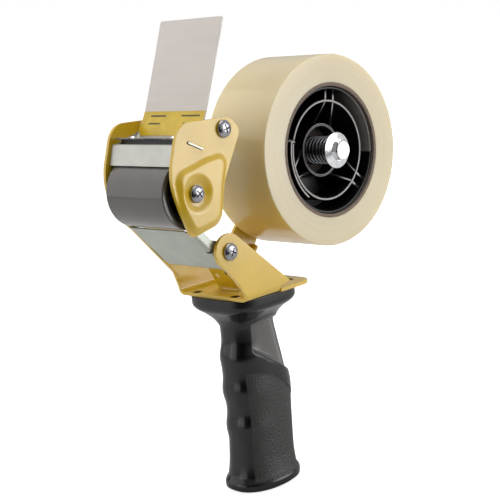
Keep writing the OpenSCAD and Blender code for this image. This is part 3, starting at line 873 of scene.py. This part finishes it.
def build_cheek():
    """The near side plate of the head."""
    corners = [(41.5, 166.6, 9), (63.6, 162.2, 3.2), (69.5, 177.5, 30), *HEAD_TOP, (35.6, 188.5, 40)]
    holes = [rod_hole(UPPER.x, UPPER.z), rod_hole(ROLLER.x, ROLLER.z), lance(0.25)]
    cheek = sheet("cheek_plate", rounded(corners), flat_side(SIDE_OUT, 1), SHEET, 0.8, holes, lift=panel_lift)
    place_piece(cheek, yellow_paint, "frame_body", "near_cheek", 0.3)


# ---- guard, hold-down plate and flap ----

GUARD_T = 1.0  # thickness of the guard and of the hold-down plate


def build_guard():
    """A strip in front of the roller with a top flange, two end lugs, and a tab through the cheek."""
    path = stations([(70.08, 202.15), (66.45, 213.76, 1.6), (55.87, 210.93)], 8)
    half = SIDE_IN - 1.05
    length = path[-1][0]
    outline = rounded(oblong((-half, 0), (half, length), 0, 1))
    strip = sheet("strip", outline, across_tool(path), GUARD_T, 1.0)
    lug = rounded([(69.3, 202.4, 0.4), (66.1, 212.2, 1), (30, 222.3, 5), (27.6, 211.6, 5), (60, 206.2, 3)])
    hole = rod_hole(UPPER.x, UPPER.z)
    inside_wall = SIDE_IN - 0.03
    lugs = [sheet("lug", lug, flat_side(side * inside_wall, side), GUARD_T, 2.0, [hole]) for side in (1, -1)]
    tab = loft("tab", [[Vector((p.x, y, p.y)) for p in lance(0)] for y in (SIDE_IN - 0.5, SIDE_OUT + 0.8)])
    guard = join("guard_sheet", [strip, *lugs, tab])
    place_piece(guard, zinc_sheet, "frame_body", "front_guard", 0.2)


HOLD_SLOPE = radians(47.2)  # how steeply the hold-down plate rises to the front
HOLD_HALF = 25.5
HOLD_FRONT = -7.4  # the plate's outer face, in its own frame
HOLD_BEND = 1.4
hold_section = stations([
    (HOLD_HALF, LEAD), (HOLD_HALF, HOLD_FRONT, HOLD_BEND),
    (-HOLD_HALF, HOLD_FRONT, HOLD_BEND), (-HOLD_HALF, LEAD)
], 8)


def hold_place(u, v, depth):
    """Folds the hold-down plate's flanges and curls its two edges; u runs up the slope."""
    point, normal = on_path(hold_section, v)
    point = point - normal * depth
    curl = 1.6 * smooth(-6.4, -10.2, u) ** 1.5 - 1.1 * smooth(25.0, 30.0, u)
    rise = point.y + curl
    x = u * cos(HOLD_SLOPE) - rise * sin(HOLD_SLOPE)
    z = u * sin(HOLD_SLOPE) + rise * cos(HOLD_SLOPE)
    return Vector((LOWER.x + x, point.x, LOWER.z + z))


def build_hold_down():
    """The hold-down plate, with an eye on each flange for its rod and a slot for its spring's leg."""
    total = hold_section[-1][0]
    flat = LEAD - HOLD_FRONT - HOLD_BEND + HOLD_BEND * pi / 2
    eye_r = -HOLD_FRONT - 0.5
    eye = [radians(-11.7 + 225 * k / 24) for k in range(25)]
    one = [(29.4, flat + 0.4, 1.5), (25.4, flat + 0.4), (25.4, LEAD + 5.4, 1), (22, LEAD + 1.4, 2)]
    one += [(eye_r * cos(t), LEAD - eye_r * sin(t)) for t in eye]
    one += [(-5, flat + 0.4), (-9.2, flat + 0.4, 1.5)]
    other = [(corner[0], total - corner[1], *corner[2:]) for corner in reversed(one)]
    rod = [circle((0, v), 4.1, 32) for v in (LEAD, total - LEAD)]
    slot = rounded(oblong((7.6, LEAD + 4.6), (9.4, flat + 1.6), 0.8, 0.8))
    plate = sheet("hold_down_sheet", rounded(one + other), hold_place, GUARD_T, 0.9, [*rod, slot])
    place_piece(plate, hold_down_zinc, "hold_down", "hold_down_plate", 0.2)


FLAP_LEAN = radians(23.2)
FLAP_UP = Vector((-sin(FLAP_LEAN), 0, cos(FLAP_LEAN)))
FLAP_OUT = Vector((cos(FLAP_LEAN), 0, sin(FLAP_LEAN)))
FLAP_HALF = (span("wiper_flap")[1].y - span("wiper_flap")[0].y) / 2
FLAP_L = 64.6  # above the hinge
FLAP_T = 1.0
FOOT_L = 12.0  # the clamped part, below the hinge
FOOT_HALF = 24.0
BAND_FROM = -2.5
BAND_TO = 11.9


def flap_bow(v):
    """How far the film bows forwards at a height: out at the foot, slightly back above."""
    free = 2.2 * (1 - smooth(-3, 12, v)) - 1.35 * (1 - v / FLAP_L)
    return free * smooth(-6, -2, v)


def flap_place(front):
    """place() for a sheet on the flap; u runs across, v up, and front is its front face's place."""
    def place(u, v, depth):
        return HINGE + FLAP_UP * v + FLAP_OUT * (front - depth + flap_bow(v)) + Vector((0, u, 0))
    return place


def bend_with_flap(piece):
    """Fixes the piece's place in its mesh."""
    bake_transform(piece)


def build_flap():
    """The film and its clamped foot as one sheet."""
    outline = rounded(mirrored([
        (FOOT_HALF, -FOOT_L), (FOOT_HALF, -0.4, 0.3), (FLAP_HALF, 0.1, 0.3), (FLAP_HALF, FLAP_L, 1.2)
    ]))
    screws = [circle((y, -9.2), 1.6, 16) for y in (-18, 18)]
    flap = sheet("flap_sheet", outline, flap_place(FLAP_T / 2), FLAP_T, 1.6, screws)
    dress(flap, clear_film, 0.18)
    bend_with_flap(flap)
    stand_in(flap, "clear_film", "wiper_flap", "flap_foot")


def build_band():
    """The printed band, with plain bars where the real one carries words."""
    front = FLAP_T / 2 + 0.15
    foot = FOOT_HALF - 0.1
    outline = rounded(mirrored([(foot, BAND_FROM), (foot, -0.4), (FLAP_HALF, 0.2), (FLAP_HALF, BAND_TO)]))
    band = sheet("band", outline, flap_place(front), 0.13, 1.6)
    bars = []
    for low, high, v in ((7, 22, 9.2), (10, 22, 4.6), (-19, -6, 9.2), (-19, -9, 4.6)):
        bar = rounded(oblong((low, v - 0.5), (high, v + 0.5), 0.4, 0.4))
        bars.append(sheet("bar", bar, flap_place(front + 0.04), 0.03, 1.6))
    plain = len(band.data.polygons)
    both = join("band_print", [band, join("bars", bars)])
    both.data.materials.append(band_film)
    both.data.materials.append(band_ink)
    for polygon in both.data.polygons:
        polygon.use_smooth = False
        polygon.material_index = int(polygon.index >= plain)
    bend_with_flap(both)
    stand_in(both, "band_film", "flap_band")


# ---- roller, rods and screws ----

def build_roller():
    """The roller's rubber sleeve, and its core: a boss and a rim joined by a web and six ribs."""
    low, high = span("roller_sleeve")
    outer = (high.z - low.z) / 2
    inner = outer - 2.8
    half = high.y
    sleeve = tube("roller_rubber_sleeve", inner, outer, -half, half, (0.3, 0.7), ROLLER)
    place_piece(sleeve, roller_rubber, "roller", "roller_sleeve")
    rim = inner - 0.02
    rim_in = rim - 2.4
    edge = half - 0.6
    bore = 6.02
    boss = bore + 2.5
    web = 1.5
    far = [(bore, -edge, 0.3), (boss, -edge, 0.4), (boss, -web, 1), (rim_in, -web, 1), (rim_in, -edge, 0.4),
           (rim, -edge, 0.3)]
    near = [(r, -y, fillet) for r, y, fillet in reversed(far)]
    core = turned("roller_core_moulding", ROLLER, far + near)
    for k in range(6):
        rib = block("rib", (ROLLER.x + boss - 1, -edge + 2, ROLLER.z - 0.7),
                    (ROLLER.x + rim_in + 1.2, edge - 2, ROLLER.z + 0.7))
        carve(core, turn_about(rib, ROLLER, 60 * k), "UNION")
    place_piece(core, black_moulding, "roller", "roller_core")


def pan_screw(name, at, side, degrees):
    """A domed screw with a cross recess on one side of the tool."""
    head_r, head_h = 4.9, 2.9
    dome = [(head_r * cos(t), 0.9 + (head_h - 0.9) * sin(t)) for t in
            (radians(90 * i / 12) for i in range(13))]
    shank = [(0, -12), (2.0, -12), (2.4, -11.5), (2.4, 0)]
    outline = [*shank, (head_r - 0.3, 0), (head_r, 0.3), *dome[:-1], (0, head_h)]
    screw = lathe(name, at, [(r, side * (SIDE_OUT + 0.02 + y)) for r, y in outline], 64)
    top = side * (SIDE_OUT + head_h)
    deep = top - side * 1.9
    for turn in (0, 90):
        arm = loft("arm", [
            [Vector((at.x + x * w, y, at.z + z)) for x, z in ((-1, -0.45), (1, -0.45), (1, 0.45), (-1, 0.45))]
            for y, w in ((deep, 1.4), (top + side, 3.6))
        ])
        carve(screw, turn_about(arm, at, turn + degrees))
    return screw


def build_screws():
    """The cross rods' screws; each recess stands at its own angle."""
    for side, name, node, turns in ((1, "near_pan_screws", "near_screws", (12, 33, 61)),
                                    (-1, "far_pan_screws", "far_screws", (40, 5, 22))):
        heads = [pan_screw("head", at, side, turn) for at, turn in zip((UPPER, ROLLER, LOWER), turns)]
        place_piece(join(name, heads), screw_zinc, "frame_body", node, 0.1, 35, "bright_zinc")


# ---- hub, brake and tape ----

def spoke_walls(degrees):
    """The two walls of a spoke pair, from the cup out to the ring, with their links on to the rim."""
    walls = []
    for side in (-1, 1):
        path = ((7.8 - 0.55, CUP_R - 1.2, CUP_NEAR - 0.5), (3.3, RING_R - 1.2, RING_NEAR - 0.5),
                (3.3, HUB_R - 0.6, RING_NEAR - 0.9))
        rings = []
        for x, r, near in path:
            edge = rounded(oblong((-0.8, WEB_NEAR - 1.1), (0.8, near), 0, 0.4), 3)
            rings.append([HUB + Vector((side * x + p.x, p.y, r)) for p in edge])
        walls.append(turn_about(loft("wall", rings), HUB, degrees))
    return walls


def spring_finger(degrees):
    """A springy finger between ring and rim, rooted on a block at one end."""
    mid = RING_R + 2.4
    edge = rounded(oblong((-0.6, WEB_NEAR - 0.8), (0.6, HUB_NEAR - 0.4), 0, 0.3), 3)
    rings = []
    for k in range(35):
        t = radians(degrees + 2 * k)
        way = Vector((cos(t), 0, -sin(t)))
        rings.append([HUB + way * (mid + p.x) + Vector((0, p.y, 0)) for p in edge])
    root = block("root", (HUB.x - 1, WEB_NEAR - 0.5, HUB.z + RING_R - 0.8),
                 (HUB.x + 1, HUB_NEAR - 1, HUB.z + HUB_R - 0.7))
    return [loft("finger", rings), turn_about(root, HUB, degrees + 90)]


def build_hub():
    """The hub: rim with a stop flange, ring and cup on a web, and the walls between them."""
    far = span("hub")[0].y
    bore, stop = 5.05, 39.7
    rim_in = HUB_R - RIM_T
    web_far = -1.2
    floor = 6.0
    hub = turned("hub_moulding", HUB, [
        (bore, far, 0.3), (bore + 3, far, 0.5), (bore + 3, web_far, 1), (rim_in, web_far, 1),
        (rim_in, far, 0.3), (stop, far, 0.4), (stop, far + 1.3, 0.4), (HUB_R, far + 1.3, 0.3),
        (HUB_R, HUB_NEAR, 0.7), (rim_in, HUB_NEAR, 0.5), (rim_in, WEB_NEAR, 1), (RING_R, WEB_NEAR, 1),
        (RING_R, RING_NEAR, 0.7), (RING_R - RIM_T, RING_NEAR, 0.7), (RING_R - RIM_T, WEB_NEAR, 1),
        (CUP_R, WEB_NEAR, 1), (CUP_R, CUP_NEAR, 0.8), (CUP_R - 1.9, CUP_NEAR, 0.8),
        (CUP_R - 1.9, floor, 0.8), (bore, floor, 0.3)
    ], 144, 4)
    for tool in spoke_walls(-12) + spoke_walls(108) + spoke_walls(228) + spring_finger(-18):
        carve(hub, tool, "UNION")
    place_piece(hub, hub_plastic, "hub", "hub")


def hexagon(flats, limit, steps):
    """(turn, radius) round a hexagon with half its width across flats, kept within a limiting radius."""
    for k in range(steps):
        t = 2 * pi * k / steps
        yield t, min(limit, flats / cos(t % (pi / 3) - pi / 6))


def build_brake():
    """The brake's washer and its hexagon flange bolt."""
    washer_low, washer_high = span("cap_washer")
    bolt_low, bolt_high = span("brake_bolt")
    washer_r = (washer_high.x - washer_low.x) / 2
    washer = tube("cap_washer_disc", 3.05, washer_r, washer_low.y, washer_high.y, (0.1, 0.25), segments=96)
    place_piece(washer, bright_wire, "brake_cap", "cap_washer")
    flange = washer_high.y + 0.02
    flange_r = (bolt_high.x - bolt_low.x) / 2
    bolt = turned("brake_bolt_flanged", HUB, [
        (0, -8), (3, -8, 0.5), (3, flange, 0.1), (flange_r, flange, 0.2), (flange_r, flange + 0.75, 0.3),
        (6.2, flange + 2.2, 1), (0, flange + 2.2)
    ], 96)
    top = bolt_high.y
    flats = 5.5
    levels = ((flange + 1, 9), (top - 1.5, 9), (top - 1.1, 6.2), (top - 0.5, 5.8), (top, 5.1))
    head = loft("head", [[HUB + Vector((r * cos(t), y, r * sin(t)))
                          for t, r in hexagon(flats, limit, 96)] for y, limit in levels])
    carve(bolt, head, "UNION")
    place_piece(bolt, bright_zinc, "brake_bolt", "brake_bolt", 0.12, 35)


def round_wire(node, material):
    """A spring as a smooth copy of its CAD wire."""
    source = frame["nodes"][node].data
    points = [vertex.co / MM for vertex in source.vertices]
    wire = new_object(node + "_wire", points, [list(polygon.vertices) for polygon in source.polygons])
    wire.modifiers.new("round", "SUBSURF").levels = 1
    graph = bpy.context.evaluated_depsgraph_get()
    wire.data = bpy.data.meshes.new_from_object(wire.evaluated_get(graph))
    wire.modifiers.clear()
    dress(wire, material)
    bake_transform(wire)
    stand_in(wire, slot_of(material), node)


def build_springs():
    """Smooth copies of the brake's spring and the torsion spring."""
    round_wire("brake_spring", bright_wire)
    round_wire("hold_down_spring", spring_wire)


def build_tape():
    """The paper core, and the wound tape with slightly uneven end faces."""
    low, high = span("tape_roll")
    half, outer = high.y, (high.z - low.z) / 2
    core_low, core_high = span("tape_core")
    core_outer = (core_high.z - core_low.z) / 2
    core_inner = core_outer - 1.9
    core = tube("tape_core_tube", core_inner, core_outer, -half, half, (0.25, 0.25))
    place_piece(core, core_board, "tape", "tape_core")
    inner = core_outer + 0.02
    steps = 34
    face = [inner + (outer - 0.5 - inner) * k / steps for k in range(steps + 1)]
    waves = [0.05 * noise.noise(Vector((r * 1.7, 0.5, 0.5))) for r in face]
    near = [(r, half - 0.06 + w) for r, w in zip(face, waves)]
    far = [(r, -half + 0.06 + w) for r, w in zip(face, waves)]
    edge = [(outer - 0.15, half - 0.15), (outer, half - 0.5)]
    edge += [(r, -y) for r, y in reversed(edge)]
    roll = lathe("tape_winding", HUB, near + edge + far[::-1], 200)
    place_piece(roll, tape_film, "tape", "tape_roll")


# ---- handle ----

# Sections of the handle from the foot up: (z, centre x, half depth, half width, squareness)
HANDLE_TOP = 118.18
SECTIONS = [
    (0, 4.5, 22, 16.5, 2.2), (1.5, 4.5, 24.2, 18.7, 2.2), (4, 4.3, 24.5, 18.9, 2.2),
    (9, 3.6, 22.4, 16.8, 2.3), (20, 2.8, 21.2, 15, 2.5), (38, 1.4, 20.8, 14.5, 2.6),
    (58, 0.7, 21.4, 14.6, 2.6), (72, 2, 20.6, 14.3, 2.5), (86, 2.5, 18.8, 13.6, 2.4),
    (98, 3.3, 17.6, 13.4, 2.4), (103, 3.6, 19.4, 15.6, 2.6), (107, 4, 22.2, 19.6, 3),
    (110.5, 4.3, 25.2, 24.2, 3.6), (113, 4.4, 25.8, 25.4, 4), (HANDLE_TOP, 4.4, 25.8, 25.4, 4)
]
RIDGE_MID = 59.3  # height of the middle finger ridge
RIDGE_PITCH = 21.5


def section_at(z, column):
    """One measure of the handle at a height, smooth between sections."""
    k = 1
    while k < len(SECTIONS) - 1 and SECTIONS[k][0] < z:
        k += 1
    a, b = SECTIONS[k - 1], SECTIONS[k]

    def slope(i):
        if i in (0, len(SECTIONS) - 1):
            return 0.0
        before, here, after = SECTIONS[i - 1], SECTIONS[i], SECTIONS[i + 1]
        left = (here[column] - before[column]) / (here[0] - before[0])
        right = (after[column] - here[column]) / (after[0] - here[0])
        return 2 * left * right / (left + right) if left * right > 0 else 0.0

    h = b[0] - a[0]
    t = (z - a[0]) / h
    ease = (2 * t**3 - 3 * t**2 + 1, t**3 - 2 * t**2 + t, -2 * t**3 + 3 * t**2, t**3 - t**2)
    return ease[0] * a[column] + ease[1] * h * slope(k - 1) + ease[2] * b[column] + ease[3] * h * slope(k)


def thumb_rest(x, z):
    """1 in the scooped rest behind the neck, with an arched top and a foot that slopes down to the back."""
    front = smooth(12.6, 11.0, x + 0.12 * (z - 90) * (z < 90))
    top = smooth(102.0, 99.6, z + 0.012 * (x - 2) ** 2)
    foot = smooth(0.0, 3.0, z - (81 + 0.62 * (x - 9.6)))
    return front * top * foot


def grip_panel(x, z, forward):
    """1 on the grained panel of the grip's sides and back."""
    top = smooth(0.3, -0.3, z - (71 - 0.0178 * (17 - x) ** 2))
    return top * smooth(0.74, 0.68, forward) * smooth(6.2, 6.8, z)


def build_handle():
    """The grip as a loft, pushed out at its finger ridges and in at its thumb rests and grained panel."""
    around = 144
    heights = [0, 0.4, 0.9, 1.5, 2.2, 3, 4, *(4.7 + 0.7 * k for k in range(154)), 113, 114, 117.4, HANDLE_TOP]
    rings, grains, rests = [], [], []
    for z in heights:
        centre, a, b, square = (section_at(z, column) for column in (1, 2, 3, 4))
        fade = smooth(26, 31, z) * smooth(92, 88, z)
        crest = (0.5 + 0.5 * cos(2 * pi * (z - RIDGE_MID) / RIDGE_PITCH)) ** 1.3
        ring = []
        for k in range(around):
            t = 2 * pi * k / around
            c, s = cos(t), sin(t)
            x = copysign(abs(c) ** (2 / square), c)
            y = copysign(abs(s) ** (2 / square), s)
            outward = Vector((x * abs(x) / a, y * abs(y) / b)).normalized()
            flank = smooth(0.35, 0.75, abs(outward.y))
            rest = thumb_rest(centre + a * x, z) * (flank + (1 - flank) * smooth(0.1, -0.5, outward.x) * 0.5)
            panel = grip_panel(centre + a * x, z, outward.x)
            push = 1.4 * crest * fade * max(0.0, c) ** 0.8 - 2.8 * rest - 0.4 * panel
            grains.append(panel)
            rests.append(rest)
            ring.append(Vector((centre + a * x + outward.x * push, b * y + outward.y * push, z)))
        rings.append(ring)
    grip = loft("handle_grip", rings)
    for name, values in (("grain", grains), ("rest", rests)):
        grip.data.attributes.new(name, "FLOAT", "POINT").data.foreach_set("value", values)
    place_piece(grip, grip_plastic, "frame_body", "handle")


# ---- small CAD parts kept as they are ----

KEPT = {
    "blade_seat": (black_moulding, 0.3), "blade": (blade_steel, 0.05), "blade_screws": (bright_zinc, 0.08),
    "flap_clamp": (zinc_sheet, 0.25), "clamp_screws": (bright_zinc, 0.08), "upper_rod": (rod_steel, 0.2),
    "lower_rod": (rod_steel, 0.2), "roller_axle": (rod_steel, 0.2), "roller_bushes": (bush_plastic, 0.15),
    "hub_stud": (rod_steel, 0.2), "seat_washer": (fibre, 0.1), "friction_washer": (fibre, 0.15),
    "handle_screws": (black_screws, 0.12),
}


def keep_cad_parts():
    """CAD parts whose shape is right get softened edges and a material."""
    for node, (material, bevel) in KEPT.items():
        part = frame["nodes"][node]
        part.modifiers.new("weld", "WELD").merge_threshold = 0.001 * MM
        dress(part, material, bevel, 35)


# ---- floor, light and camera ----

def build_floor():
    """A plain pale floor that looks white to the camera, with painted shade behind it that stands in for the
    dark room there.
    """
    size = 6000
    floor = new_object("floor", [(-size, -size, 0), (size, -size, 0), (size, size, 0), (-size, size, 0)],
                       [(0, 1, 2, 3)])
    pale = shader("pale_floor", (0.84, 0.84, 0.84), Roughness=0.8)
    where = add(pale, "TexCoord").outputs["Object"]
    ahead = add(pale, "VectorMath", {0: where, 1: TO_CAMERA}, operation="DOT_PRODUCT").outputs["Value"]
    # Painted shade: the floor's colour goes dark behind the camera.
    feed(pale, "Base Color", ramp(pale, ahead, (0.2, (0.84, 0.84, 0.84)), (0.5, (0.12, 0.12, 0.12))))
    pale.node_tree.nodes["Principled BSDF"].inputs["Emission Color"].default_value = (1, 1, 1, 1)
    feed(pale, "Roughness", ramp(pale, cloud(pale, 8), (0.3, 0.7), (0.7, 0.9)))
    seen = add(pale, "LightPath").outputs["Is Camera Ray"]
    feed(pale, "Emission Strength", calculate(pale, "MULTIPLY", seen, 0.8))
    floor.data.materials.append(pale)
    floor.location.z = -0.0002


def soft_light(name, at, size, power):
    """A square soft light aimed at the tool's middle."""
    lamp = bpy.data.lights.new(name, "AREA")
    lamp.size = size * MM
    lamp.energy = power
    holder = linked(name, lamp)
    holder.location = Vector(at) * MM
    holder.rotation_mode = "QUATERNION"
    holder.rotation_quaternion = (Vector((0, 0, 150)) - Vector(at)).to_track_quat("-Z", "Y")


def build_light():
    """White behind the object, and a room that is bright behind the open side and dark behind the camera."""
    world = bpy.data.worlds.new("studio")
    scene.world = world
    world.use_nodes = True
    background = world.node_tree.nodes["Background"]
    way = add(world, "TexCoord").outputs["Generated"]
    open_side = (-0.7, 0.5, 0.48)
    facing = add(world, "VectorMath", {0: way, 1: open_side}, operation="DOT_PRODUCT").outputs["Value"]
    levels = {"Value": facing, "From Min": -0.5, "From Max": 0.9, "To Min": 0.22, "To Max": 0.6}
    room = add(world, "MapRange", levels, interpolation_type="SMOOTHSTEP").outputs["Result"]
    ahead = add(world, "VectorMath", {0: way, 1: TO_CAMERA}, operation="DOT_PRODUCT").outputs["Value"]
    room = calculate(world, "MULTIPLY", room, grade(world, ahead, 0.98, 0.7))
    ray = add(world, "LightPath")
    seen = calculate(world, "MAXIMUM", ray.outputs["Is Camera Ray"], ray.outputs["Is Transmission Ray"])
    strength = add(world, "Mix", {0: seen, 2: room, 3: 1.0}, data_type="FLOAT").outputs[0]
    world.node_tree.links.new(strength, background.inputs["Strength"])
    background.inputs["Color"].default_value = (1, 1, 1, 1)
    soft_light("key", (-600, 1000, 330), 700, 3.3)
    soft_light("card", (-520, 570, 120), 500, 1.4)
    soft_light("far_front", (700, -750, 650), 1300, 5.0)
    soft_light("top", (0, -100, 1400), 1000, 9.5)
    soft_light("low_front", (750, -150, 110), 500, 1.0)


FOCAL_LENGTH = 95.76
CAMERA_AT = Vector((523.16, 559.18, 286.88))
CAMERA_WAY = Vector((-0.67439, -0.71409, -0.18783))
CAMERA_ROLL = radians(-6.21)


def build_camera():
    """The camera at the angle and distance fitted to the size of the roll and the frame."""
    lens = bpy.data.cameras.new("camera")
    lens.lens = FOCAL_LENGTH
    lens.sensor_width = 36
    lens.clip_start, lens.clip_end = 0.05, 50
    camera = linked("camera", lens)
    forward = CAMERA_WAY.normalized()
    level = forward.cross(Vector((0, 0, 1))).normalized()
    up = level.cross(forward)
    right = level * cos(CAMERA_ROLL) + up * sin(CAMERA_ROLL)
    above = up * cos(CAMERA_ROLL) - level * sin(CAMERA_ROLL)
    place = Matrix((right, above, -forward)).transposed().to_4x4()
    place.translation = CAMERA_AT * MM
    camera.matrix_world = place
    scene.camera = camera


build_frame()
build_cheek()
build_guard()
build_hold_down()
build_flap()
build_band()
build_roller()
build_screws()
build_hub()
build_brake()
build_springs()
build_tape()
build_handle()
keep_cad_parts()
build_floor()
build_light()
build_camera()
scene.view_settings.view_transform = "Standard"
